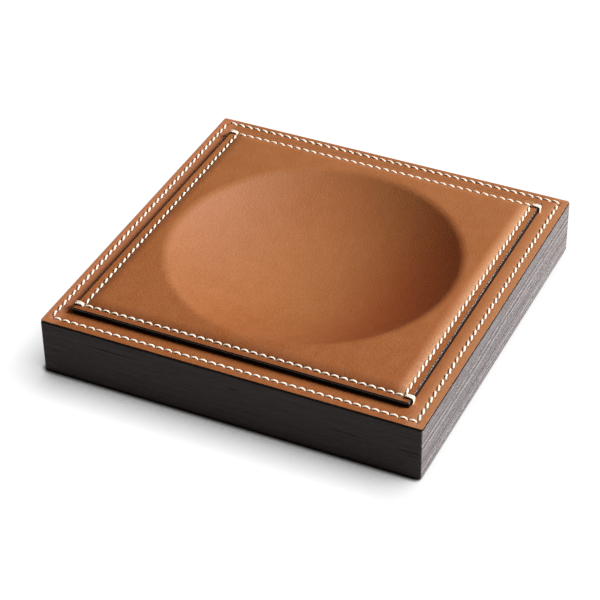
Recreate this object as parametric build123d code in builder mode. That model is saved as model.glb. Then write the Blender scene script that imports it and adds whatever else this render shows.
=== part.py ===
"""A square valet tray: a mitred frame of black wood round a turned core, topped with tan leather.

A stitched leather border covers the top of the wood. A stitched leather plate lies on it, and its
leather is moulded down into a round dish in the core. Millimetres, +Z up, origin at the bottom centre.
"""
import math
import os

from build123d import *

os.makedirs("parts", exist_ok=True)

# Driving dimensions of the wooden base
tray_side = 210.0
wood_height = 30.3
rail_width = 16.0
wood_corner_radius = 0.8
wood_arris_radius = 0.4
board_thickness = 5.0
board_ledge = 6.0
joiner_clearance = 0.2
lining_thickness = 0.8
lining_inset = 3.0
lining_corner_radius = 2.0

# Loose splines in the mitres
spline_thickness = 3.0
spline_width = 10.0
spline_cover = 3.0
spline_setback = 6.0
spline_clearance = 0.1

# Leather border and leather plate, whose edge is set in from the tray's
border_thickness = 1.2
border_arris_radius = 0.3
plate_margin = 12.0
plate_corner_radius = 0.6
plate_arris_radius = 0.4
backing_thickness = 1.9
skin_thickness = 1.2
padding_thickness = 1.5
padding_slope = 30.0
panel_inset = 1.2
panel_corner_radius = 4.0

# Moulded dish, measured on the visible face of the leather, its rim set in from the plate's edge
dish_margin = 11.7
dish_depth = 21.5
rim_roll_radius = 10.5
rim_land = 1.0

# Stitching
stitch_inset = 4.5
stitch_pitch = 4.89
stitch_gap = 0.4
stitch_height = 1.0
thread_diameter = 1.2
thread_clearance = 0.05
corner_gap = 1.2
wrap_setback = 0.7
bend_share = 0.6

# How far each row's stitches lean, in degrees from the row towards the middle of the tray
border_leans = {"front": 9.0, "right": 15.0, "back": -12.0, "left": 15.0}
plate_leans = {"front": 9.0, "right": 15.0, "back": -6.0, "left": 15.0}

# The four sides, each a turn of the front about the upright axis
side_turns = {"front": 0.0, "right": 90.0, "back": 180.0, "left": 270.0}

# One overrun for every cut that runs out of the material
overrun = 1.0

# Levels, from the floor up
wood_foot = lining_thickness
board_top = wood_foot + board_thickness
wood_top = wood_foot + wood_height
border_top = wood_top + border_thickness
backing_top = border_top + backing_thickness
flange_top = backing_top + skin_thickness
padding_top = backing_top + padding_thickness
panel_top = padding_top + skin_thickness

# Plan sizes that follow from the driving ones
plate_side = tray_side - 2 * plate_margin
dish_radius = plate_side / 2 - dish_margin
core_room = tray_side - 2 * rail_width
board_room = core_room + 2 * board_ledge
border_row = tray_side / 2 - stitch_inset
plate_row = plate_side / 2 - stitch_inset
padding_run = padding_thickness / math.tan(math.radians(padding_slope))
skin_spread = skin_thickness * math.tan(math.radians(padding_slope / 2))
panel_side = 2 * (plate_row - panel_inset)
padding_side = panel_side - 2 * skin_spread

# The room that a thread takes in a hole, and the pitch of the two threads of a corner wrap
thread_room = thread_diameter + 2 * thread_clearance
bend_radius = thread_diameter * bend_share


def square_prism(level, side, height, radius=0.0, mode=Mode.ADD):
    """A square slab from level upwards, with its upright corners rounded by radius."""
    with BuildSketch(Plane.XY.offset(level)) as plan:
        if radius:
            RectangleRounded(side, side, radius)
        else:
            Rectangle(side, side)
    extrude(plan.sketch, amount=height, mode=mode)


def stepped_panel(level, side, height, mode=Mode.ADD):
    """A low slab with sloping sides, as the padding has and the leather over it repeats."""
    with BuildSketch(Plane.XY.offset(level)) as foot:
        RectangleRounded(side, side, panel_corner_radius)
    with BuildSketch(Plane.XY.offset(level + height)) as head:
        top_side = side - 2 * padding_run
        RectangleRounded(top_side, top_side, panel_corner_radius - padding_run)
    loft([foot.sketch, head.sketch], ruled=True, mode=mode)


# The dish in section: a bowl arc about a centre on the axis, and a rolled rim that is tangent to it
# and to the flat leather. Depths into the leather shrink the roll and widen the bowl alike.
arc_reach = (dish_radius**2 + dish_depth**2) / (2 * dish_depth)
bowl_radius = arc_reach - rim_roll_radius
bowl_centre = panel_top - dish_depth + bowl_radius
rim_centre = panel_top - rim_roll_radius
rim_slope = math.asin(dish_radius / arc_reach)


def dish_section(depth):
    """Draws the dish's curve, depth below its visible face, from the axis out to the flat."""
    bowl = bowl_radius + depth
    roll = rim_roll_radius - depth
    bottom = (0, bowl_centre - bowl)
    bowl_half = rim_slope / 2
    bowl_mid = (bowl * math.sin(bowl_half), bowl_centre - bowl * math.cos(bowl_half))
    join = (bowl * math.sin(rim_slope), bowl_centre - bowl * math.cos(rim_slope))
    roll_mid = (dish_radius - roll * math.sin(bowl_half), rim_centre + roll * math.cos(bowl_half))
    edge = (dish_radius, rim_centre + roll)
    ThreePointArc(bottom, bowl_mid, join)
    ThreePointArc(join, roll_mid, edge)
    return bottom, edge


# The room that the moulded leather takes in everything under it
with BuildPart() as dish_bed:
    with BuildSketch(Plane.XZ):
        with BuildLine():
            bed_bottom, bed_edge = dish_section(skin_thickness)
            bed_lid = panel_top + overrun
            Polyline(bed_edge, (dish_radius, bed_lid), (0, bed_lid), bed_bottom)
        make_face()
    revolve(axis=Axis.Z)

# The leather of the dish, with a narrow flat land round its rim
with BuildPart() as moulded_dish:
    with BuildSketch(Plane.XZ):
        with BuildLine():
            face_bottom, face_edge = dish_section(0)
            under_bottom, under_edge = dish_section(skin_thickness)
            land_edge = dish_radius + rim_land
            Polyline(face_edge, (land_edge, panel_top), (land_edge, padding_top), under_edge)
            Line(face_bottom, under_bottom)
        make_face()
    revolve(axis=Axis.Z)


# The wooden frame before it is cut along its mitres
spline_reach = math.sqrt(2) * core_room / 2 + spline_setback
spline_foot = board_top + spline_cover
spline_height = wood_top - spline_cover - spline_foot

with BuildPart() as frame_blank:
    square_prism(wood_foot, tray_side, wood_height, wood_corner_radius)
    outer_rims = frame_blank.faces().filter_by(Axis.Z).edges()
    fillet(outer_rims, radius=wood_arris_radius)
    square_prism(wood_foot, core_room, wood_height, mode=Mode.SUBTRACT)
    square_prism(wood_foot, board_room, board_thickness, mode=Mode.SUBTRACT)
    with BuildSketch(Plane.XY.offset(spline_foot - spline_clearance)):
        with PolarLocations(spline_reach, len(side_turns), start_angle=45):
            Rectangle(spline_thickness + 2 * spline_clearance, spline_width + 2 * spline_clearance)
    extrude(amount=spline_height + 2 * spline_clearance, mode=Mode.SUBTRACT)

for side_name, turn in side_turns.items():
    with BuildPart() as rail:
        add(frame_blank.part)
        with BuildSketch(Plane.XY.offset(wood_foot).rotated((0, 0, turn))):
            with BuildLine():
                Polyline((0, 0), (tray_side, -tray_side), (-tray_side, -tray_side), (0, 0))
            make_face()
        extrude(amount=wood_height, mode=Mode.INTERSECT)
    rail.part.label = f"{side_name}_rail"
    export_step(rail.part, f"parts/{side_name}_rail.step")

with BuildPart() as corner_splines:
    with BuildSketch(Plane.XY.offset(spline_foot)):
        with PolarLocations(spline_reach, len(side_turns), start_angle=45):
            Rectangle(spline_thickness, spline_width)
    extrude(amount=spline_height)
corner_splines.part.label = "corner_splines"
export_step(corner_splines.part, "parts/corner_splines.step")

with BuildPart() as base_board:
    square_prism(wood_foot, board_room - 2 * joiner_clearance, board_thickness)
base_board.part.label = "base_board"
export_step(base_board.part, "parts/base_board.step")

with BuildPart() as base_lining:
    square_prism(0, tray_side - 2 * lining_inset, lining_thickness, lining_corner_radius)
base_lining.part.label = "base_lining"
export_step(base_lining.part, "parts/base_lining.step")

with BuildPart() as dish_core:
    square_prism(board_top, core_room - 2 * joiner_clearance, wood_top - board_top)
    add(dish_bed.part, mode=Mode.SUBTRACT)
dish_core.part.label = "dish_core"
export_step(dish_core.part, "parts/dish_core.step")


# Corner wraps of the plate: where the front and back rows end, two threads go round its edge
wrap_leg = plate_row + wrap_setback
wrap_reach = plate_side / 2 + thread_room / 2


def cut_wrap_holes(level, height):
    """Cuts the holes that the corner wraps of the plate pass through."""
    with BuildSketch(Plane.XY.offset(level)) as plan:
        with GridLocations(2 * wrap_leg, 2 * plate_row, 2, 2):
            SlotCenterToCenter(thread_room, thread_room, rotation=90)
    extrude(plan.sketch, amount=height, mode=Mode.SUBTRACT)


with BuildPart() as border_leather:
    square_prism(wood_top, tray_side, border_thickness, wood_corner_radius)
    fillet(border_leather.faces().sort_by(Axis.Z)[-1].edges(), radius=border_arris_radius)
    add(dish_bed.part, mode=Mode.SUBTRACT)
border_leather.part.label = "border_leather"
export_step(border_leather.part, "parts/border_leather.step")

with BuildPart() as plate_backing:
    square_prism(border_top, plate_side, backing_thickness, plate_corner_radius)
    add(dish_bed.part, mode=Mode.SUBTRACT)
    cut_wrap_holes(border_top, backing_thickness)
    bed_length = plate_side / 2 + overrun - wrap_leg + thread_room / 2
    with BuildSketch(Plane.XY.offset(border_top)):
        with GridLocations(2 * (plate_side / 2 + overrun) - bed_length, 2 * plate_row, 2, 2):
            Rectangle(bed_length, 2 * thread_room)
    extrude(amount=thread_room, mode=Mode.SUBTRACT)
plate_backing.part.label = "plate_backing"
export_step(plate_backing.part, "parts/plate_backing.step")

with BuildPart() as panel_padding:
    stepped_panel(backing_top, padding_side, padding_thickness)
    add(dish_bed.part, mode=Mode.SUBTRACT)
panel_padding.part.label = "panel_padding"
export_step(panel_padding.part, "parts/panel_padding.step")

with BuildPart() as plate_leather:
    square_prism(backing_top, plate_side, skin_thickness, plate_corner_radius)
    fillet(plate_leather.faces().sort_by(Axis.Z)[-1].edges(), radius=plate_arris_radius)
    stepped_panel(flange_top, panel_side, padding_thickness)
    stepped_panel(backing_top, padding_side, padding_thickness, mode=Mode.SUBTRACT)
    with BuildSketch(Plane.XY.offset(backing_top)):
        Circle(dish_radius + rim_land)
    extrude(amount=panel_top - backing_top, mode=Mode.SUBTRACT)
    add(moulded_dish.part)
    cut_wrap_holes(backing_top, skin_thickness)
plate_leather.part.label = "plate_leather"
export_step(plate_leather.part, "parts/plate_leather.step")


def stitch_rows(prefix, row, leans, level):
    """Makes the four rows of stitches round one square, each row a node of separate stitches.

    A stitch is an arch of round thread, cut flat where it lies on the leather.
    """
    crest = stitch_height - thread_diameter / 2
    for side_name, turn in side_turns.items():
        end_gap = 0 if side_name in ("front", "back") else corner_gap
        row_length = 2 * (row - end_gap)
        count = round(row_length / stitch_pitch)
        pitch = row_length / count
        half_length = (pitch - stitch_gap) / 2
        arch_radius = (half_length**2 / stitch_height - thread_diameter + stitch_height) / 2
        with BuildPart() as stitch:
            with BuildSketch(Plane.YZ):
                with Locations((0, crest)):
                    Circle(thread_diameter / 2)
            revolve(axis=Axis((0, 0, crest - arch_radius), (0, 1, 0)))
            split(bisect_by=Plane.XY, keep=Keep.TOP)
        with BuildPart() as stitch_row:
            with Locations(Location((0, 0, level), (0, 0, turn))):
                with Locations((0, -row)):
                    with GridLocations(pitch, pitch, count, 1):
                        add(stitch.part, rotation=(0, 0, leans[side_name]))
        stitch_row.part.label = f"{prefix}_{side_name}_stitches"
        export_step(stitch_row.part, f"parts/{prefix}_{side_name}_stitches.step")


stitch_rows("border", border_row, border_leans, border_top)
stitch_rows("plate", plate_row, plate_leans, flange_top)

with BuildPart() as wrap_loop:
    with BuildLine(Plane.XZ) as wrap_route:
        FilletPolyline(
            (wrap_leg, border_top + thread_room / 2),
            (wrap_leg, flange_top + thread_room / 2),
            (wrap_reach, flange_top + thread_room / 2),
            (wrap_reach, border_top + thread_room / 2),
            radius=bend_radius,
            close=True,
        )
    with BuildSketch(Plane(origin=wrap_route.line @ 0, z_dir=wrap_route.line % 0)):
        Circle(thread_diameter / 2)
    sweep(path=wrap_route.line)

with BuildPart() as corner_wraps:
    with PolarLocations(0, 2):
        with GridLocations(0, 2 * plate_row, 1, 2):
            with GridLocations(0, thread_room, 1, 2):
                add(wrap_loop.part)
corner_wraps.part.label = "corner_wraps"
export_step(corner_wraps.part, "parts/corner_wraps.step")
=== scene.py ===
"""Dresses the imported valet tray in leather, thread and black wood, and stages it as photographed.

Everything is in metres, in the tray's own frame: +Z up, -Y towards the front, origin under the middle.
"""

import math
import random

import bmesh
import bpy
from mathutils import Matrix, Vector, noise


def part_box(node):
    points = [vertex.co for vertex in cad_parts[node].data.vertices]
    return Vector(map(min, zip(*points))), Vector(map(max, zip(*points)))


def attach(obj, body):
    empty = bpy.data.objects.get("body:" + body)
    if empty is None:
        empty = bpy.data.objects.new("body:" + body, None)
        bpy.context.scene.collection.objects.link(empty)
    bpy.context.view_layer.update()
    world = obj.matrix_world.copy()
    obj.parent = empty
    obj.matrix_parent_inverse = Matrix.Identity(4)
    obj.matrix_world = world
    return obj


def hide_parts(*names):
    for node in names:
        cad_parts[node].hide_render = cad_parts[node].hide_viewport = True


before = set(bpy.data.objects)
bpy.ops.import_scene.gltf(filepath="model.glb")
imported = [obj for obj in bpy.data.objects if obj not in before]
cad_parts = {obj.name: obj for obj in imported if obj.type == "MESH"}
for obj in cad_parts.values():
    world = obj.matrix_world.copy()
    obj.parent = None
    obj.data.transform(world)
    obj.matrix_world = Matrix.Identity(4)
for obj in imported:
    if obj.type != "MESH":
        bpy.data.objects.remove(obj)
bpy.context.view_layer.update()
random.seed(41)

# Sizes read from the frame
border_low, border_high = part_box("border_leather")
plate_low, plate_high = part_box("plate_leather")
_, backing_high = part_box("plate_backing")
_, lining_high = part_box("base_lining")
half_tray = border_high.x
half_plate = plate_high.x
wood_top = border_low.z
border_top = border_high.z
backing_top = backing_high.z
panel_top = plate_high.z

# Leather thicknesses, and how the panel swells up inside the plate's stitches
skin_thickness = 0.0012
flange_top = backing_top + skin_thickness
puff_height = panel_top - flange_top
puff_run = 0.0068
puff_corner = 0.005
crease_depth = 0.00025
crease_width = 0.0009
ripple_size = 0.02
ripple_height = 0.00004
ripple_slice = 1.7

# The dish in section: a bowl and a rolled rim that meet on one slope
dish_radius = 0.0813
rim_roll = 0.0105
dish_depth = panel_top - skin_thickness - plate_low.z
arc_reach = (dish_radius**2 + dish_depth**2) / (2 * dish_depth)
bowl_radius = arc_reach - rim_roll
bowl_centre = panel_top - dish_depth + bowl_radius
rim_centre = panel_top - rim_roll
rim_slope = dish_radius / arc_reach

# Stitching: the stitches of a row, and the thread's own shape
border_count = 41
plate_count = 36
thread_radius = 0.00061
thread_flat = 0.56
thread_lay = 0.0034
thread_plies = 3
ply_groove = 0.084
stitch_bury = 0.0006
stitch_crest = 0.00042
stitch_fall = 2.7
end_taper = 0.30
stitch_steps = 11
thread_sides = 15

# How far single stitches differ from each other, in place and as shares of their lean and width
hole_wander = 0.00008
lean_wander = 0.12
width_wander = 0.06

# How the leather is pressed in at a stitch's ends
slit_run = 0.00012
hole_radius = 0.00032
hole_depth = 0.0005
dimple_radius = 0.0009
dimple_depth = 0.00012
press_reach = 3 * dimple_radius


def ease(t):
    """A smooth step from 0 to 1."""
    t = min(max(t, 0.0), 1.0)
    return t * t * (3 - 2 * t)


def dish_height(radius, depth):
    """Height of the dish's face, or of a face that lies depth under it, at a radius from the axis."""
    bowl = bowl_radius + depth
    roll = rim_roll - depth
    if radius < bowl * rim_slope:
        return bowl_centre - math.sqrt(bowl**2 - radius**2)
    if radius < dish_radius:
        return rim_centre + math.sqrt(roll**2 - (dish_radius - radius) ** 2)
    return panel_top - depth


def dish_reach(height):
    """Radius at which the underside of the moulded leather passes a height."""
    bowl = bowl_radius + skin_thickness
    roll = rim_roll - skin_thickness
    join = bowl_centre - bowl * math.sqrt(1 - rim_slope**2)
    if height < join:
        return math.sqrt(bowl**2 - (bowl_centre - height) ** 2)
    return dish_radius - math.sqrt(roll**2 - (height - rim_centre) ** 2)


def puff(margin):
    """Height of the panel over the flange, at a distance inside the row of stitches."""
    return puff_height * (1 - (1 - min(max(margin / puff_run, 0.0), 1.0)) ** 2)


def inside(x, y, half, softness):
    """Distance inside a square of that half side, with its corners softened."""
    across = half - abs(x)
    along = half - abs(y)
    closeness = max(softness - abs(across - along), 0) / softness
    return min(across, along) - closeness**2 * softness / 4


class Row:
    """One straight row of stitches, seen with its edge of the tray turned to the front."""

    def __init__(self, node, turn, count, lean, bow, outwards=0.0):
        low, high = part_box(node)
        frame_turn = Matrix.Rotation(-math.radians(turn), 3, "Z")
        corners = [frame_turn @ low, frame_turn @ high]
        self.reach = outwards - (corners[0].y + corners[1].y) / 2
        self.half = max(corners[0].x, corners[1].x)
        self.count = count
        self.pitch = 2 * self.half / count
        self.rise = math.tan(math.radians(lean)) * self.pitch / 2
        self.bow = bow
        self.cos = math.cos(math.radians(turn))
        self.sin = math.sin(math.radians(turn))

    def local(self, x, y):
        """Place along the row, and distance from it towards the middle of the tray."""
        return x * self.cos + y * self.sin, y * self.cos - x * self.sin + self.reach

    def place(self, along, across):
        """The point of the tray at a place along the row and a distance from it."""
        back = across - self.reach
        return along * self.cos - back * self.sin, along * self.sin + back * self.cos

    def hole(self, number):
        """Place of a hole along the row."""
        return -self.half + number * self.pitch

    def press(self, x, y):
        """How far the leather is pressed down at a point, and how much of a hole is there."""
        along, across = self.local(x, y)
        if abs(across) > press_reach:
            return 0.0, 0.0
        number = min(max(round((along + self.half) / self.pitch), 0), self.count)
        offset = Vector((along - self.hole(number), across))
        slit = Vector((slit_run, -self.rise))
        share = min(max(offset.dot(slit) / slit.length_squared, -1), 1)
        gap = (offset - share * slit).length
        hole = 1 - ease(gap / hole_radius)
        dimple = math.exp(-((gap / dimple_radius) ** 2))
        return dimple_depth * dimple + hole_depth * hole, hole


# Each side's turn from the front, and how its stitches lean (degrees), bow and are shifted outwards
side_turns = {"front": 0, "right": 90, "back": 180, "left": 270}
border_leans = {"front": 9, "right": 15, "back": -9, "left": 15}
plate_leans = {"front": 9, "right": 15, "back": -4, "left": 15}
bows = {"front": 0.00028, "right": 0.0, "back": -0.00010, "left": 0.0}
border_shifts = {"front": 0.0, "right": -0.0004, "back": 0.0009, "left": 0.0005}
border_rows = {
    side: Row(
        f"border_{side}_stitches",
        turn,
        border_count,
        border_leans[side],
        bows[side],
        border_shifts[side],
    )
    for side, turn in side_turns.items()
}
plate_rows = {
    side: Row(f"plate_{side}_stitches", turn, plate_count, plate_leans[side], bows[side])
    for side, turn in side_turns.items()
}
border_row = border_rows["front"].reach
plate_row = plate_rows["front"].reach


def pressed(rows, x, y):
    """Depth and hole share at a point, from all the rows of one leather."""
    marks = [row.press(x, y) for row in rows.values()]
    return max(mark[0] for mark in marks), max(mark[1] for mark in marks)


def crease(rows, x, y):
    """Depth of the line that the stitches draw into a leather."""
    nearest = half_tray
    for row in rows.values():
        along, across = row.local(x, y)
        nearest = min(nearest, math.hypot(across, max(abs(along) - row.half, 0.0)))
    return crease_depth * math.exp(-((nearest / crease_width) ** 2))


def ripple(x, y):
    """A slight unevenness, as hand-cut leather has."""
    return ripple_height * noise.noise(Vector((x / ripple_size, y / ripple_size, ripple_slice)))


# Heights of the two leathers
def plate_face(x, y):
    """The plate's leather without the marks of its stitches."""
    margin = inside(x, y, plate_row, puff_corner)
    swell = puff(margin) - puff_height - crease(plate_rows, x, y)
    return dish_height(math.hypot(x, y), 0) + swell + ripple(x, y)


def plate_underside(x, y):
    """The plate's leather from below, one skin under the smooth face."""
    margin = inside(x, y, plate_row, puff_corner)
    return dish_height(math.hypot(x, y), skin_thickness) + puff(margin) - puff_height


def border_face(x, y):
    """The border's leather without the marks of its stitches."""
    return border_top - crease(border_rows, x, y)


def square_ring(half, corner, count):
    """Points of a square with rounded corners; a corner as large as half makes it a circle."""
    points = []
    side_count = count // 4
    straight = half - corner
    for side in range(4):
        turn = Matrix.Rotation(side * math.pi / 2, 2)
        for step in range(side_count):
            along = half * (2 * step / side_count - 1)
            if abs(along) <= straight:
                point = Vector((along, -half))
            else:
                bend = (abs(along) - straight) / corner * math.pi / 4
                across = straight + corner * math.sin(bend)
                point = Vector((math.copysign(across, along), -straight - corner * math.cos(bend)))
            points.append(turn @ point)
    return points


class Rings:
    """A mesh grown ring by ring. A ring has as many points as the last one, half or twice as many."""

    def __init__(self):
        self.points = []
        self.faces = []
        self.paint = []
        self.holes = []
        self.last = []
        self.first = []
        self.kind = 0
        self.kinds = []

    def add(self, outline, height, paint=0.0, rows=None):
        """Adds a ring over an outline, at a height or at the heights that a function gives."""
        start = len(self.points)
        for x, y in outline:
            level = height(x, y) if callable(height) else height
            depth, hole = pressed(rows, x, y) if rows else (0.0, 0.0)
            self.points.append((x, y, level - depth))
            self.holes.append(hole)
            self.paint.append(paint)
        ring = list(range(start, len(self.points)))
        if self.last:
            self.join(self.last, ring)
        else:
            self.first = ring
        self.last = ring

    def join(self, old, new):
        """Fills the gap between two rings with faces of the present kind."""
        if len(old) < len(new):
            old, new = new, old
        count = len(new)
        for i in range(count):
            nxt = (i + 1) % count
            if len(old) == count:
                self.faces.append((old[i], old[nxt], new[nxt], new[i]))
            else:
                a, b, c = old[2 * i], old[2 * i + 1], old[(2 * i + 2) % len(old)]
                self.faces += [(a, b, new[i]), (b, new[nxt], new[i]), (b, c, new[nxt])]
        self.kinds += [self.kind] * (len(self.faces) - len(self.kinds))

    def cap(self, height):
        """Closes the last ring on a point of the axis."""
        centre = len(self.points)
        self.points.append((0, 0, height))
        self.holes.append(0.0)
        self.paint.append(0.0)
        count = len(self.last)
        self.faces += [(self.last[i], self.last[(i + 1) % count], centre) for i in range(count)]
        self.kinds += [self.kind] * count

    def cap_first(self, height):
        """Closes the first ring on a point of the axis."""
        self.last, kept = self.first, self.last
        self.cap(height)
        self.last = kept

    def close(self):
        """Joins the last ring to the first."""
        self.join(self.last, self.first)


def finish_mesh(name, points, faces, marks, sharp=50, kinds=None):
    """Makes a smooth mesh object that carries named numbers on its points.

    Edges sharper than that many degrees stay crisp. Kinds are the faces' places in its materials.
    """
    mesh = bpy.data.meshes.new(name)
    mesh.from_pydata([tuple(p) for p in points], [], faces)
    for mark, values in marks.items():
        mesh.attributes.new(mark, "FLOAT", "POINT").data.foreach_set("value", values)
    work = bmesh.new()
    work.from_mesh(mesh)
    bmesh.ops.recalc_face_normals(work, faces=work.faces)
    work.to_mesh(mesh)
    work.free()
    mesh.polygons.foreach_set("use_smooth", [True] * len(mesh.polygons))
    if kinds:
        mesh.polygons.foreach_set("material_index", kinds)
    mesh.set_sharp_from_angle(angle=math.radians(sharp))
    piece = bpy.data.objects.new(name, mesh)
    bpy.context.scene.collection.objects.link(piece)
    return piece


def dress(piece, materials, slot, *nodes):
    """Gives a piece its materials, hangs it from the root and hides the CAD parts that it stands for."""
    for material in materials:
        piece.data.materials.append(material)
    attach(piece, "root")
    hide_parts(*nodes)
    return piece


# Materials
class Graph:
    """A tree of shader nodes, built one node at a time."""

    def __init__(self, tree):
        self.tree = tree

    def put(self, socket, value):
        """Links a node's output to a socket, or sets the socket to a plain value."""
        if isinstance(value, bpy.types.NodeSocket):
            self.tree.links.new(value, socket)
        else:
            socket.default_value = value

    def add(self, kind, settings=None, **inputs):
        """Adds a node. Its inputs go by name, or by number after an i."""
        node = self.tree.nodes.new("ShaderNode" + kind)
        for key, value in (settings or {}).items():
            setattr(node, key, value)
        for key, value in inputs.items():
            number = key.removeprefix("i")
            self.put(node.inputs[int(number) if number.isdigit() else key.replace("_", " ")], value)
        return node

    def ramp(self, value, low=0.0, high=1.0, to_low=0.0, to_high=1.0, shape="LINEAR"):
        """A value drawn from the range low to high over to the range to_low to to_high."""
        ends = {"From_Min": low, "From_Max": high, "To_Min": to_low, "To_Max": to_high}
        return self.add("MapRange", {"interpolation_type": shape}, Value=value, **ends).outputs["Result"]

    def band(self, value, low, high, to_low=0.0, to_high=1.0):
        """The same with soft ends."""
        return self.ramp(value, low, high, to_low, to_high, "SMOOTHSTEP")

    def spread(self, value, to_low=0.0, to_high=1.0):
        """A noise, which seldom leaves 0.3 to 0.7, drawn out over a range."""
        return self.band(value, 0.3, 0.7, to_low, to_high)

    def mix(self, share, first, second):
        """The first colour with a share of the second over it."""
        return self.add("Mix", {"data_type": "RGBA"}, i0=share, i6=first, i7=second).outputs[2]

    def maths(self, operation, first, second=0.0):
        return self.add("Math", {"operation": operation}, i0=first, i1=second).outputs[0]

    def times(self, first, second):
        return self.maths("MULTIPLY", first, second)

    def parts(self, vector):
        """The three numbers of a vector, by the names X, Y and Z."""
        return self.add("SeparateXYZ", Vector=vector).outputs


class Recipe(Graph):
    """A material on one shader, with noises that keep to the tray's own frame."""

    def __init__(self, name, **constants):
        self.material = bpy.data.materials.new(name)
        self.material.use_nodes = True
        super().__init__(self.material.node_tree)
        self.shader = self.tree.nodes["Principled BSDF"]
        for socket, value in constants.items():
            self.shader.inputs[socket.replace("_", " ")].default_value = value
        self.place = self.add("TexCoord").outputs["Object"]

    def stretched(self, scale, turn=(0, 0, 0)):
        """Places for a noise that is drawn out along an axis."""
        return self.add("Mapping", Vector=self.place, Scale=scale, Rotation=turn).outputs["Vector"]

    def noise(self, scale, detail=3.0, rough=0.5, place=None):
        shape = {"Scale": scale, "Detail": detail, "Roughness": rough}
        return self.add("TexNoise", Vector=place or self.place, **shape).outputs["Fac"]

    def mark(self, name):
        """A number that the mesh carries on its points."""
        return self.add("Attribute", {"attribute_name": name}).outputs["Fac"]

    def bump(self, height, distance, strength=1.0, under=None):
        """Relief over a surface, or over the relief under it."""
        inputs = {"Height": height, "Distance": distance, "Strength": strength}
        if under is not None:
            inputs["Normal"] = under
        return self.add("Bump", **inputs).outputs["Normal"]

    def finish(self, colour, dullness, surface):
        for name, value in (("Base Color", colour), ("Roughness", dullness), ("Normal", surface)):
            self.put(self.shader.inputs[name], value)
        return self.material


def shade(red, green, blue):
    """An opaque colour."""
    return (red, green, blue, 1.0)


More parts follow.
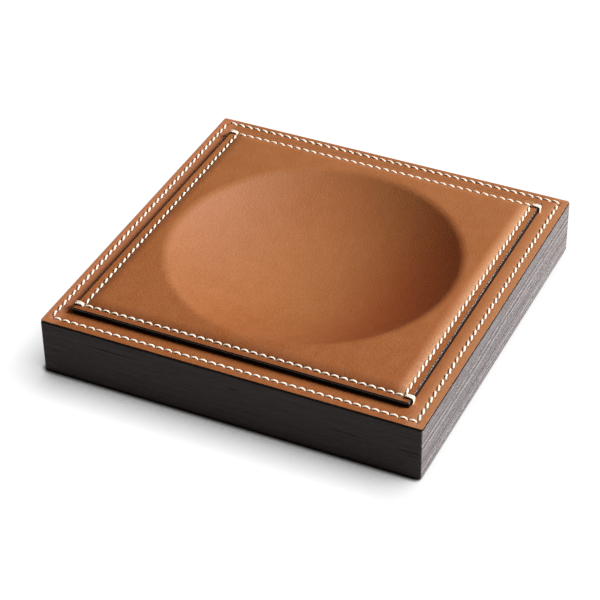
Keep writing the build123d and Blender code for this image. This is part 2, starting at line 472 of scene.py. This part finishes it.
def tan_leather(name, seam, front_shade_share, strip, dish):
    """Vegetable-tanned leather: mottled, with fine grain and pores, and black paint over its arris.

    It has painted shade along the front, as far back as seam, and in its stitch holes, and a painted
    sheen towards the back. It is paler along the right from strip on, and has painted fill light
    along the left from strip on. Dish is 1 for the leather that is moulded: it has painted bounce
    light and sheen in the dish's bottom, painted shade at its right, which is redder, and a painted
    highlight at its left, which is browner. It also has a painted highlight by the right stitches.
    """
    recipe = Recipe(name, Specular_IOR_Level=0.5)
    band, times = recipe.band, recipe.times
    cloud = recipe.noise(22, 4, 0.55)
    blotch = recipe.noise(110, 4, 0.6)
    grain = recipe.noise(900, 4, 0.7)
    cells = recipe.add("TexVoronoi", {"feature": "F1"}, Vector=recipe.place, Scale=900, Randomness=1.0)
    pores = cells.outputs["Distance"]
    streak = recipe.noise(50, 4, 0.6, recipe.stretched((7, 1, 1), (0, 0, 0.2)))
    scratch = recipe.noise(170, 3, 0.6, recipe.stretched((1, 9, 1), (0, 0, 0.9)))
    places = recipe.parts(recipe.place)
    x, y = places["X"], places["Y"]
    level = recipe.add("CombineXYZ", X=x, Y=y).outputs[0]
    radius = recipe.add("VectorMath", {"operation": "LENGTH"}, i0=level).outputs["Value"]
    shaded_dish_right = times(band(x, 0.005, 0.065, 0.0, dish), band(radius, 0.074, 0.081, 0.85, 0.0))
    lit_dish_left = times(band(x, -0.055, -0.015, 0.35 * dish, 0.0), band(radius, 0.078, 0.082, 1.0, 0.0))
    # A painted highlight on the panel's slope beside the plate's right stitches
    highlight_start = band(x, plate_row - 0.0060, plate_row - 0.0015, 0.0, 0.35 * dish)
    highlight_end = band(x, plate_row - 0.0002, plate_row + 0.0005, 1.0, 0.0)
    grained = band(y, -0.07, 0.05, 0.50, 0.20)

    # Colours laid over the tan one after another, and how much of each shows where
    layers = {
        "blotches": (band(blotch, 0.35, 0.75, 0.0, 0.4), (0.415, 0.147, 0.042)),
        "streaks": (band(streak, 0.45, 0.75, 0.0, 0.4), (0.310, 0.092, 0.021)),
        # painted bounce light and sheen: the dish's bottom is paler
        "dish's bottom": (band(radius, 0.015, 0.065, 0.55 * dish, 0.0), (0.410, 0.162, 0.053)),
        # painted shade: the dish's right wall, away from the light, is darker and redder
        "dish's right": (shaded_dish_right, (0.340, 0.066, 0.011)),
        # painted sheen: paler towards the back
        "towards the back": (band(y, -0.02, 0.09, 0.0, 0.35), (0.42, 0.168, 0.058)),
        # painted highlight: the dish's left wall, facing the light, is paler
        "dish's left": (lit_dish_left, (0.350, 0.150, 0.058)),
        "back strip": (band(y, half_plate, half_plate + 0.006, 0.0, 0.15), (0.330, 0.105, 0.040)),
        # painted highlight beside the right stitches
        "painted_highlight": (times(highlight_start, highlight_end), (0.62, 0.36, 0.18)),
        "grain": (times(band(grain, 0.35, 0.65, 1.0, 0.0), grained), (0.240, 0.066, 0.015)),
        "pores": (times(band(pores, 0.08, 0.3, 1.0, 0.0), grained), (0.20, 0.055, 0.014)),
        "scratches": (band(scratch, 0.70, 0.78, 0.0, 0.22), (0.50, 0.20, 0.07)),
        # painted shade along the front, out to the edge and a little behind the front row
        "front seam": (band(y, -seam, 0.0075 - seam, front_shade_share, 0.0), (0.21, 0.056, 0.012)),
        "right strip": (band(x, strip, strip + 0.006, 0.0, 0.6), (0.49, 0.215, 0.092)),
        # painted fill light on the border's left, where the plate's shadow falls
        "left strip": (band(x, -strip - 0.006, -strip, 0.6, 0.0), (0.52, 0.200, 0.095)),
        # painted shade in the stitch holes
        "holes": (times(recipe.mark("hole"), 0.75), (0.05, 0.016, 0.006)),
    }
    tan = recipe.mix(recipe.spread(cloud), shade(0.345, 0.109, 0.026), shade(0.385, 0.128, 0.034))
    for share, colour in layers.values():
        tan = recipe.mix(share, tan, shade(*colour))

    wander = times(recipe.noise(900, 2, 0.5), 0.5)
    painted = band(recipe.maths("ADD", recipe.mark("paint"), wander), 0.72, 0.82)
    colour = recipe.mix(painted, tan, shade(0.008, 0.006, 0.006))
    dullness = recipe.maths("SUBTRACT", recipe.spread(blotch, 0.52, 0.62), times(painted, 0.30))
    surface = recipe.bump(grain, 0.00018, 0.7)
    surface = recipe.bump(band(pores, 0.05, 0.4), 0.00012, 0.7, surface)
    return recipe.finish(colour, dullness, surface)


def black_paint(name, gloss, smoothness):
    """Edge paint on leather, a little uneven."""
    recipe = Recipe(name, Specular_IOR_Level=gloss)
    wave = recipe.noise(700, 3, 0.6, recipe.stretched((1, 1, 3)))
    colour = recipe.mix(recipe.spread(wave), shade(0.004, 0.003, 0.003), shade(0.010, 0.008, 0.008))
    dullness = recipe.spread(wave, 0.45 - smoothness, 0.50 - smoothness)
    return recipe.finish(colour, dullness, recipe.bump(wave, 0.00015, 0.6 - 2.5 * smoothness))


def black_wood(name, along, gloss, dust, relief, pore_share, tone, dark_lines=(), pale_lines=(), cracks=()):
    """Open-grained wood stained black, with a satin face. Its grain runs along x or y.

    Gloss is its shine, dust its bloom at a low angle, relief how deep the grain stands, pore_share
    how many pores show and tone how pale it is; a low tone is painted shade. Lines are heights of
    growth lines, and a crack is its two ends along the grain and its height.
    """
    dark_width, pale_width, crack_width = 0.0008, 0.0009, 0.0004
    line_core = 0.3
    drift_size = 0.0050
    recipe = Recipe(
        name,
        Specular_IOR_Level=gloss,
        Specular_Tint=shade(1.0, 0.86, 0.88),
        Sheen_Weight=dust,
        Sheen_Roughness=0.5,
        Sheen_Tint=shade(1.0, 0.91, 0.92),
    )

    def drawn_out(times):
        """Places for a noise that is drawn out along the grain."""
        return recipe.stretched((1, times, times) if along == "x" else (times, 1, times))

    def near(value, middle, reach):
        """1 where a value is at the middle of a line, and 0 from its reach on."""
        off = recipe.maths("ABSOLUTE", recipe.maths("SUBTRACT", value, middle))
        return recipe.band(off, reach * line_core, reach, 1.0, 0.0)

    def stain(level):
        """A dark of that level, a little red."""
        red = level * tone
        return shade(red, red * 0.84, red * 0.84)

    places = recipe.parts(recipe.place)
    run = places["X"] if along == "x" else places["Y"]
    drift = recipe.times(recipe.noise(8, 2, 0.5, drawn_out(0.2)), drift_size)
    height = recipe.maths("ADD", places["Z"], recipe.maths("SUBTRACT", drift, drift_size / 2))
    figure = recipe.noise(4, 3, 0.6, drawn_out(80))
    streaks = recipe.noise(24, 4, 0.65, drawn_out(25))
    fleck = recipe.noise(260, 2, 0.6, drawn_out(5))

    colour = recipe.mix(recipe.spread(figure), stain(0.050), stain(0.082))
    colour = recipe.mix(recipe.band(streaks, 0.50, 0.75, 0.0, 0.7 * relief), colour, stain(0.124))
    colour = recipe.mix(recipe.band(streaks, 0.25, 0.45, 0.7 * relief, 0.0), colour, stain(0.030))
    colour = recipe.mix(recipe.band(run, 0.0, 0.09, 0.0, 0.30 * relief**2), colour, stain(0.26))
    flecks = recipe.band(fleck, 0.34, 0.46, pore_share, 0.0)
    marks = flecks
    for line in pale_lines:
        colour = recipe.mix(near(height, line, pale_width), colour, shade(0.26, 0.235, 0.235))
    for line in dark_lines:
        trace = near(height, line, dark_width)
        marks = recipe.maths("MAXIMUM", marks, trace)
        colour = recipe.mix(trace, colour, shade(0.010, 0.008, 0.008))
    for start, end, level in cracks:
        length = near(run, (start + end) / 2, (end - start) / 2)
        crack = recipe.times(near(height, level, crack_width), length)
        colour = recipe.mix(crack, colour, shade(0.002, 0.002, 0.002))
        marks = recipe.maths("MAXIMUM", marks, crack)
    colour = recipe.mix(recipe.times(flecks, 0.85), colour, shade(0.008, 0.006, 0.006))
    dullness = recipe.maths("ADD", recipe.spread(streaks, 0.55, 0.42), recipe.times(marks, 0.35))
    surface = recipe.bump(streaks, 0.0008 * relief, 1.0)
    surface = recipe.bump(marks, 0.0003 * relief, -1.0, surface)
    return recipe.finish(colour, dullness, surface)


def cream_thread(name):
    """Waxed linen thread, with painted shade between its plies."""
    recipe = Recipe(name, Specular_IOR_Level=0.3)
    fibre = recipe.noise(2600, 3, 0.6)
    cream = recipe.mix(recipe.spread(fibre), shade(0.96, 0.89, 0.76), shade(0.99, 0.95, 0.87))
    patch = recipe.band(recipe.noise(40, 2), 0.35, 0.7, 0.0, 0.35)
    cream = recipe.mix(patch, cream, shade(0.96, 0.87, 0.72))
    # painted shade in the grooves between the plies
    colour = recipe.mix(recipe.times(recipe.mark("groove"), 0.12), cream, shade(0.76, 0.62, 0.44))
    return recipe.finish(colour, recipe.spread(fibre, 0.45, 0.6), recipe.bump(fibre, 0.00006, 0.5))


def plain_wood(name):
    """Raw board, for the wood that doesn't show."""
    recipe = Recipe(name, Specular_IOR_Level=0.3)
    figure = recipe.noise(12, 4, 0.6, recipe.stretched((1, 12, 12)))
    colour = recipe.mix(recipe.spread(figure), shade(0.40, 0.27, 0.16), shade(0.52, 0.37, 0.23))
    return recipe.finish(colour, recipe.spread(figure, 0.6, 0.75), recipe.bump(figure, 0.0002, 0.4))


def napped(name, dark, pale, scale):
    """Suede or felt: a short nap with soft patches."""
    recipe = Recipe(name, Specular_IOR_Level=0.15, Sheen_Weight=0.25, Sheen_Roughness=0.5)
    patch = recipe.noise(45, 3, 0.6)
    nap = recipe.noise(scale, 3, 0.7)
    colour = recipe.mix(recipe.spread(nap), dark, pale)
    colour = recipe.mix(recipe.band(patch, 0.4, 0.7, 0.0, 0.4), colour, dark)
    return recipe.finish(colour, recipe.spread(nap, 0.85, 0.95), recipe.bump(nap, 0.0002, 0.7))


plate_tan = tan_leather("plate_tan_leather", plate_row, 0.45, half_tray, 1.0)
border_tan = tan_leather("border_tan_leather", border_row, 0.12, half_plate, 0.0)
paint = black_paint("black_edge_paint", 0.06, 0.0)
glossy_paint = black_paint("glossy_edge_paint", 1.0, 0.2)
front_cracks = [
    (-0.082, -0.044, 0.0240),
    (0.000, 0.008, 0.0240),
    (0.054, 0.077, 0.0166),
    (0.090, 0.106, 0.0166),
]
# Painted shade: the rails along x get a darker copy than the lit rails along y
shaded_wood_x = black_wood(
    "black_wood_along_x_shaded",
    "x",
    gloss=0.24,
    dust=0.58,
    relief=0.20,
    pore_share=0.20,
    tone=0.70,
    cracks=front_cracks,
)
lit_wood_y = black_wood(
    "black_wood_along_y_lit",
    "y",
    gloss=0.29,
    dust=0.70,
    relief=1.0,
    pore_share=1.0,
    tone=1.0,
    dark_lines=[0.0238, 0.0202, 0.0110],
    pale_lines=[0.0221, 0.0181, 0.0060],
)
thread = cream_thread("cream_thread")
raw_wood = plain_wood("raw_wood")
suede = napped("dark_suede", shade(0.018, 0.016, 0.015), shade(0.040, 0.036, 0.034), 1800)
felt = napped("wool_felt", shade(0.46, 0.42, 0.36), shade(0.62, 0.58, 0.51), 900)

# The wooden pieces keep their CAD shapes
rail_woods = {"front_rail": shaded_wood_x, "back_rail": shaded_wood_x, "left_rail": lit_wood_y, "right_rail": lit_wood_y}
other_woods = dict.fromkeys(("base_board", "dish_core", "corner_splines"), raw_wood)
for node, wood in {**rail_woods, **other_woods}.items():
    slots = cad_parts[node].data.materials
    slots.clear()
    slots.append(wood)


# The two leathers: points on a ring, corners and arrises, and the places of their materials
fine_plate = 2304
fine_border = 2560
fine_dish = fine_plate // 4
plate_corner = 0.0006
plate_arris = 0.0006
border_corner = 0.0014
border_arris = 0.0003
arris_steps = 4
bare_paint = 0.25
tan_kind, paint_kind, glossy_kind = 0, 1, 2

# Rings are close together up to row_band from a row of stitches, and ring_gap apart from the others
row_band = 0.0015
ring_gap = 0.0003
row_rings = 10

# Squares between the round dish and the straight edges: half their side, and their corners
soft_square = (0.086, 0.02)
dish_square = (0.0825, 0.001)
least_corner = 0.0001


def frange(start, stop, steps):
    """Values from start to stop, both with them, in equal steps."""
    return [start + (stop - start) * step / steps for step in range(steps + 1)]


def corner_at(corner, inset):
    """Corner radius of a ring that lies inset from an outline."""
    return max(corner - inset, least_corner)


def edge_rings(rings, half, corner, foot, top, arris, count, arris_kind, painted):
    """The painted side face of a leather, from its foot up and over the arris.

    The painted share of the arris, from below, has the material arris_kind, and the rest is tan.
    Over the arris the mark of the paint falls from 1 to bare_paint, and the tan's own paint with it.
    """
    rings.add(square_ring(half, corner, count), foot, 1.0)
    rings.kind = paint_kind
    for level in frange(foot, top - arris, 3)[1:]:
        rings.add(square_ring(half, corner, count), level, 1.0)
    for step in range(1, arris_steps + 1):
        rings.kind = arris_kind if step <= arris_steps * painted else tan_kind
        share = step / arris_steps
        angle = share * math.pi / 2
        inset = arris * (1 - math.cos(angle))
        level = top - arris * (1 - math.sin(angle))
        outline = square_ring(half - inset, corner_at(corner, inset), count)
        rings.add(outline, level, 1 - share * (1 - bare_paint))
    rings.kind = tan_kind


def face_rings(rings, half, corner, insets, face, rows, count):
    """Rings of a leather's face, each inset from its edge and pressed in by its rows of stitches."""
    for inset in insets:
        rings.add(square_ring(half - inset, corner_at(corner, inset), count), face, 0.0, rows)


def row_insets(row_inset, first, steps):
    """Insets of rings from the first up to a row of stitches, and of the close ones along it."""
    outer = frange(first, row_inset - row_band, steps)
    return outer + frange(row_inset - row_band + ring_gap, row_inset + row_band, row_rings)


def round_rings(rings, table, height):
    """Rings round the axis, from a table of their points and their radii."""
    for count, radii in table:
        for radius in radii:
            rings.add(square_ring(radius, radius, count), height)


def plate_cover():
    """The plate's leather: flange, stitched crease, swelling panel and moulded dish."""
    under_dish = (
        (fine_dish // 8, [0.009]),
        (fine_dish // 4, [0.018]),
        (fine_dish // 2, [0.036, 0.054]),
        (fine_dish, [0.068, 0.074, 0.0765, 0.079, dish_radius]),
    )
    dish_face = (
        (fine_dish, frange(dish_radius - 0.0006, 0.0755, 9)),
        (fine_dish // 2, frange(0.0730, 0.040, 9)),
        (fine_dish // 4, frange(0.036, 0.020, 4)),
        (fine_dish // 8, frange(0.016, 0.004, 4)),
    )
    under_squares = ((0.084, 0.02, fine_dish), (0.087, 0.004, fine_plate // 2))
    foot_inset = 0.0004
    first_inset = 0.0006
    last_inset = 0.0100
    rings = Rings()
    round_rings(rings, under_dish, plate_underside)
    rings.cap_first(dish_height(0, skin_thickness))
    for half, corner, count in under_squares:
        rings.add(square_ring(half, corner, count), plate_underside)
    rings.add(square_ring(half_plate - foot_inset, plate_corner, fine_plate), backing_top)
    side = (plate_corner, backing_top, flange_top, plate_arris, fine_plate, glossy_kind, 1.0)
    edge_rings(rings, half_plate, *side)
    row_inset = half_plate - plate_row
    along_row = row_insets(row_inset, first_inset, 6)
    face_rings(rings, half_plate, plate_corner, along_row, plate_face, plate_rows, fine_plate)
    inner = frange(row_inset + row_band + ring_gap, last_inset, 8)
    face_rings(rings, half_plate, plate_corner, inner, plate_face, None, fine_plate // 2)
    square_half, square_corner = dish_square
    for share in frange(0, 1, 8):
        half = square_half + share * (dish_radius - square_half)
        corner = square_corner + share * (half - square_corner)
        rings.add(square_ring(half, corner, fine_dish), plate_face)
    round_rings(rings, dish_face, plate_face)
    rings.cap(dish_height(0, 0))
    marks = {"hole": rings.holes, "paint": rings.paint}
    return finish_mesh("plate_cover", rings.points, rings.faces, marks, kinds=rings.kinds)


def dish_hole(rings, count, heights):
    """The round cut of a flat layer at the dish, with a softened square before and after it."""
    start, end = heights
    rings.add(square_ring(*soft_square, count), start)
    for height in (start, end):
        reach = dish_reach(height)
        rings.add(square_ring(reach, reach, count), height)
    rings.add(square_ring(*soft_square, count), end)


def border_cover():
    """The border's leather, which runs on under the plate to the edge of the dish."""
    foot_square = (0.100, 0.001)
    first_inset = 0.0005
    inner_gap = 0.0005
    last_inset = half_tray - half_plate + 0.002
    rings = Rings()
    side = (border_corner, wood_top, border_top, border_arris, fine_border, paint_kind, 0.5)
    edge_rings(rings, half_tray, *side)
    row_inset = half_tray - border_row
    along_row = row_insets(row_inset, first_inset, 7)
    face_rings(rings, half_tray, border_corner, along_row, border_face, border_rows, fine_border)
    inner = frange(row_inset + row_band + inner_gap, last_inset, 8)
    face_rings(rings, half_tray, border_corner, inner, border_face, None, fine_border // 2)
    dish_hole(rings, fine_border // 4, (border_top, wood_top))
    rings.add(square_ring(*foot_square, fine_border // 2), wood_top)
    rings.close()
    marks = {"hole": rings.holes, "paint": rings.paint}
    return finish_mesh("border_cover", rings.points, rings.faces, marks, kinds=rings.kinds)


def plate_underlayer():
    """The second leather of the plate, whose painted edge shows under the first."""
    rings = Rings()
    count = fine_plate // 2
    bulge = 0.00012
    for share in frange(0, 1, 6):
        level = border_top + share * (backing_top - border_top)
        inset = bulge * (2 * share - 1) ** 2
        rings.add(square_ring(half_plate - inset, plate_corner, count), level, 1.0)
    dish_hole(rings, count // 2, (backing_top, border_top))
    rings.close()
    return finish_mesh("plate_underlayer", rings.points, rings.faces, {"paint": rings.paint})


def padding_layer():
    """The felt under the panel, as thick as the leather over it stands up."""
    corner = 0.002
    first_margin, last_margin = 0.0012, 0.007
    roll_start, roll_end = 0.001, 0.0003
    rings = Rings()
    reach = dish_reach(backing_top)
    for margin in frange(first_margin, last_margin, 5):
        rings.add(square_ring(plate_row - margin, corner, fine_dish), plate_underside)
    rim = [dish_radius] + frange(dish_radius - roll_start, reach + roll_end, 4)
    round_rings(rings, [(fine_dish, rim)], plate_underside)
    round_rings(rings, [(fine_dish, [reach])], backing_top)
    rings.add(square_ring(plate_row - first_margin, corner, fine_dish), backing_top)
    rings.close()
    return finish_mesh("padding_layer", rings.points, rings.faces, {})


def lining_sheet():
    """The suede under the tray, its edge pressed round."""
    rings = Rings()
    half = lining_high.x
    thickness = lining_high.z
    corner = 0.002
    pressed_in = 0.0004
    middle_inset = 0.02
    count = 640
    middle = square_ring(half - middle_inset, corner, count // 2)
    rings.add(middle, 0.0)
    rings.cap_first(0.0)
    for angle in frange(0, math.pi, 6):
        inset = pressed_in * (1 - math.sin(angle))
        level = thickness / 2 * (1 - math.cos(angle))
        rings.add(square_ring(half - inset, corner, count), level)
    rings.add(middle, thickness)
    rings.cap(thickness)
    return finish_mesh("lining_sheet", rings.points, rings.faces, {})


tray_cover = dress(border_cover(), [border_tan, paint], "border_tan", "border_leather")
top_cover = dress(plate_cover(), [plate_tan, paint, glossy_paint], "plate_tan", "plate_leather")
dress(plate_underlayer(), [paint], "backing_leather", "plate_backing")
padding = dress(padding_layer(), [felt], "felt", "panel_padding")
lining = dress(lining_sheet(), [suede], "dark_suede", "base_lining")


# Stitches and wraps
class Threads:
    """A mesh of separate lengths of twisted thread."""

    def __init__(self):
        self.points = []
        self.faces = []
        self.grooves = []

    def add(self, route, radii, side):
        """Adds a thread along a route; side is square to the plane that the route bends in."""
        turn = random.uniform(0, 2 * math.pi)
        start = len(self.points)
        for i, (centre, radius) in enumerate(zip(route, radii)):
            ahead = route[min(i + 1, len(route) - 1)] - route[max(i - 1, 0)]
            up = side.cross(ahead.normalized())
            if i:
                turn += 2 * math.pi * (centre - route[i - 1]).length / thread_lay
            for step in range(thread_sides):
                angle = 2 * math.pi * step / thread_sides
                groove = (1 - math.cos(thread_plies * (angle + turn))) / 2
                reach = radius * (1 - ply_groove * groove)
                off = thread_flat * math.cos(angle) * up + math.sin(angle) * side
                self.points.append(centre + reach * off)
                self.grooves.append(groove)
        for i in range(len(route) - 1):
            for step in range(thread_sides):
                a = start + i * thread_sides + step
                b = start + i * thread_sides + (step + 1) % thread_sides
                self.faces.append((a, b, b + thread_sides, a + thread_sides))
        last = start + (len(route) - 1) * thread_sides
        self.faces.append(tuple(range(start, start + thread_sides))[::-1])
        self.faces.append(tuple(range(last, last + thread_sides)))

    def piece(self, name):
        return finish_mesh(name, self.points, self.faces, {"groove": self.grooves}, sharp=80)


def stitch(threads, row, number, face):
    """One stitch, out of one hole, over the leather and down into the next."""
    jitter = [random.uniform(-1, 1) for _ in range(5)]
    first = row.hole(number) + slit_run + hole_wander * jitter[0]
    last = row.hole(number + 1) - slit_run + hole_wander * jitter[2]
    start = Vector((first, -row.rise * (1 + lean_wander * jitter[1])))
    end = Vector((last, row.rise * (1 + lean_wander * jitter[3])))
    width = thread_radius * (1 + width_wander * jitter[4])
    route, radii = [], []
    for step in range(stitch_steps + 1):
        place = -math.cos(math.pi * step / stitch_steps)
        along, across = start.lerp(end, (place + 1) / 2)
        x, y = row.place(along, across + row.bow * (1 - place**2))
        fall = abs(place) ** stitch_fall
        lift = stitch_crest * (1 - fall) - stitch_bury * fall
        route.append(Vector((x, y, face(x, y) + lift)))
        radii.append(width * (1 - end_taper * abs(place) ** 4))
    run = route[-1] - route[0]
    side = Vector((run.y, -run.x, 0)).normalized()
    threads.add(route, radii, side)


def stitch_pieces(prefix, rows, face):
    """The stitches of one leather, a piece for each row."""
    for side_name, row in rows.items():
        threads = Threads()
        for number in range(row.count):
            stitch(threads, row, number, face)
        node = f"{prefix}_{side_name}_stitches"
        dress(threads.piece(f"{prefix}_{side_name}_thread"), [thread], "cream_thread", node)


def rounded(points, rounds=3):
    """Cuts the corners of a route again and again, until it is a smooth bend."""
    for _ in range(rounds):
        cut = [points[0]]
        for a, b in zip(points, points[1:]):
            cut += [a.lerp(b, 0.25), a.lerp(b, 0.75)]
        points = cut + [points[-1]]
    return points


def wraps():
    """Where the plate's front and back rows end, two threads go over its edge and down to the border."""
    threads = Threads()
    radius = thread_radius * 1.04
    hole_share, edge_share = 0.75, 1.05
    edge = half_plate + radius

    # Each outline comes out of the hole, goes over the arris and down the edge, and meets the border
    for x_side in (-1, 1):
        for y_side in (-1, 1):
            for strand in (-1, 1):
                near = y_side * plate_row + strand * radius * hole_share
                far = y_side * plate_row + strand * radius * edge_share
                outline = [
                    (plate_row + 0.0005, near, flange_top - 0.0006),
                    (plate_row + 0.0005, near, flange_top + 0.0007),
                    (half_plate - 0.0012, far, flange_top + 0.0009),
                    (edge + 0.0002, far, flange_top + 0.0005),
                    (edge, far, border_top + 0.0012),
                    (half_plate + radius * 0.6, far, border_top - 0.0001),
                ]
                route = rounded([Vector((x_side * x, y, z)) for x, y, z in outline])
                threads.add(route, [radius] * len(route), Vector((0, 1, 0)))
    return threads.piece("corner_thread")


stitch_pieces("border", border_rows, border_face)
stitch_pieces("plate", plate_rows, plate_face)
dress(wraps(), [thread], "cream_thread", "corner_wraps")


# Stage, lights and camera. A shadow on the floor has an azimuth, a reach, the openness of its darkest
# and its lightest part, and how fast it fades.
shadow_elevation = 30
cast_shadow = (50, 0.026, 0.38, 0.94, 0.46)
contact_shadow = (35, 0.0038, 0.58, 0.88, 1.0)
floor_half = 3.0
floor_tone = 0.06


def towards(azimuth, elevation):
    """The direction at an azimuth from +X towards +Y, and an elevation, in degrees."""
    azimuth, elevation = math.radians(azimuth), math.radians(elevation)
    level = math.cos(elevation)
    return Vector((level * math.cos(azimuth), level * math.sin(azimuth), math.sin(elevation)))


def seen_directly(graph):
    """1 for what the camera, a reflection or a clear material sees, and 0 for light on the object."""
    rays = graph.add("LightPath").outputs
    total = rays["Is Camera Ray"]
    for name in ("Is Glossy Ray", "Is Transmission Ray"):
        total = graph.maths("MAXIMUM", total, rays[name])
    return total


def pale_floor():
    """A white floor that keeps a soft shadow: darker where the tray hides the side that the light is on."""
    mesh = bpy.data.meshes.new("floor")
    corners = [(-1, -1), (1, -1), (1, 1), (-1, 1)]
    mesh.from_pydata([(x * floor_half, y * floor_half, 0) for x, y in corners], [], [(0, 1, 2, 3)])
    floor = bpy.data.objects.new("floor", mesh)
    bpy.context.scene.collection.objects.link(floor)
    material = bpy.data.materials.new("pale_floor")
    material.use_nodes = True
    graph = Graph(material.node_tree)
    graph.tree.nodes.clear()
    matt = graph.add("BsdfDiffuse", Color=shade(floor_tone, floor_tone, floor_tone))
    level = seen_directly(graph)
    for azimuth, reach, darkest, lightest, fade in (cast_shadow, contact_shadow):
        x, y, z = towards(azimuth, shadow_elevation)
        lean = graph.add("CombineXYZ", X=x, Y=y, Z=z).outputs[0]
        openness = graph.add("AmbientOcclusion", {"samples": 16}, Distance=reach, Normal=lean)
        light = graph.ramp(openness.outputs["AO"], darkest, lightest)
        level = graph.times(level, graph.maths("POWER", light, fade))
    glow = graph.add("Emission", Strength=level)
    both = graph.add("AddShader", i0=matt.outputs[0], i1=glow.outputs[0])
    graph.add("OutputMaterial", Surface=both.outputs[0])
    mesh.materials.append(material)


def pale_world(ambient, ceiling):
    """A white surround that reflections see under a dim ceiling. It lights the object dimly and warmly."""
    ceiling_height = 0.04
    warm, white = shade(1.0, 0.68, 0.50), shade(1.0, 1.0, 1.0)
    world = bpy.data.worlds.new("surround")
    bpy.context.scene.world = world
    world.use_nodes = True
    graph = Graph(world.node_tree)
    height = graph.parts(graph.add("TexCoord").outputs["Generated"])["Z"]
    camera_ray = graph.add("LightPath").outputs["Is Camera Ray"]
    overhead = graph.ramp(height, 0.0, ceiling_height, 1.0, ceiling)
    reflected = graph.ramp(camera_ray, to_low=overhead, to_high=1.0)
    seen = seen_directly(graph)
    back = graph.tree.nodes["Background"]
    graph.put(back.inputs["Color"], graph.mix(seen, warm, white))
    graph.put(back.inputs["Strength"], graph.ramp(seen, to_low=ambient, to_high=reflected))


def softbox(name, azimuth, elevation, distance, size, power):
    """A round light that faces the tray's middle from a distance."""
    lamp = bpy.data.lights.new(name, "AREA")
    lamp.shape = "DISK"
    lamp.size = size
    lamp.energy = power
    box = bpy.data.objects.new(name, lamp)
    place = towards(azimuth, elevation)
    box.location = place * distance
    box.rotation_euler = place.to_track_quat("Z", "Y").to_euler()
    bpy.context.scene.collection.objects.link(box)


def photo_camera():
    """The camera solved from the corners of the tray in the photograph."""
    azimuth, elevation, roll = 25.603, 37.055, -0.914
    distance = 1.1092
    target = Vector((0.00849, -0.03580, border_top))
    data = bpy.data.cameras.new("camera")
    data.sensor_width = 36
    data.lens = 129.7
    camera = bpy.data.objects.new("camera", data)
    back = towards(azimuth - 90, elevation)
    camera.location = target + back * distance
    turn = back.to_track_quat("Z", "Y").to_matrix() @ Matrix.Rotation(math.radians(roll), 3, "Z")
    camera.rotation_euler = turn.to_euler()
    bpy.context.scene.collection.objects.link(camera)
    bpy.context.scene.camera = camera


pale_floor()
pale_world(ambient=0.095, ceiling=0.02)
softbox("key", azimuth=21, elevation=34, distance=5.0, size=2.4, power=447)
softbox("glint", azimuth=66, elevation=38, distance=4.0, size=0.45, power=25)
photo_camera()
bpy.context.scene.view_settings.view_transform = "Standard"
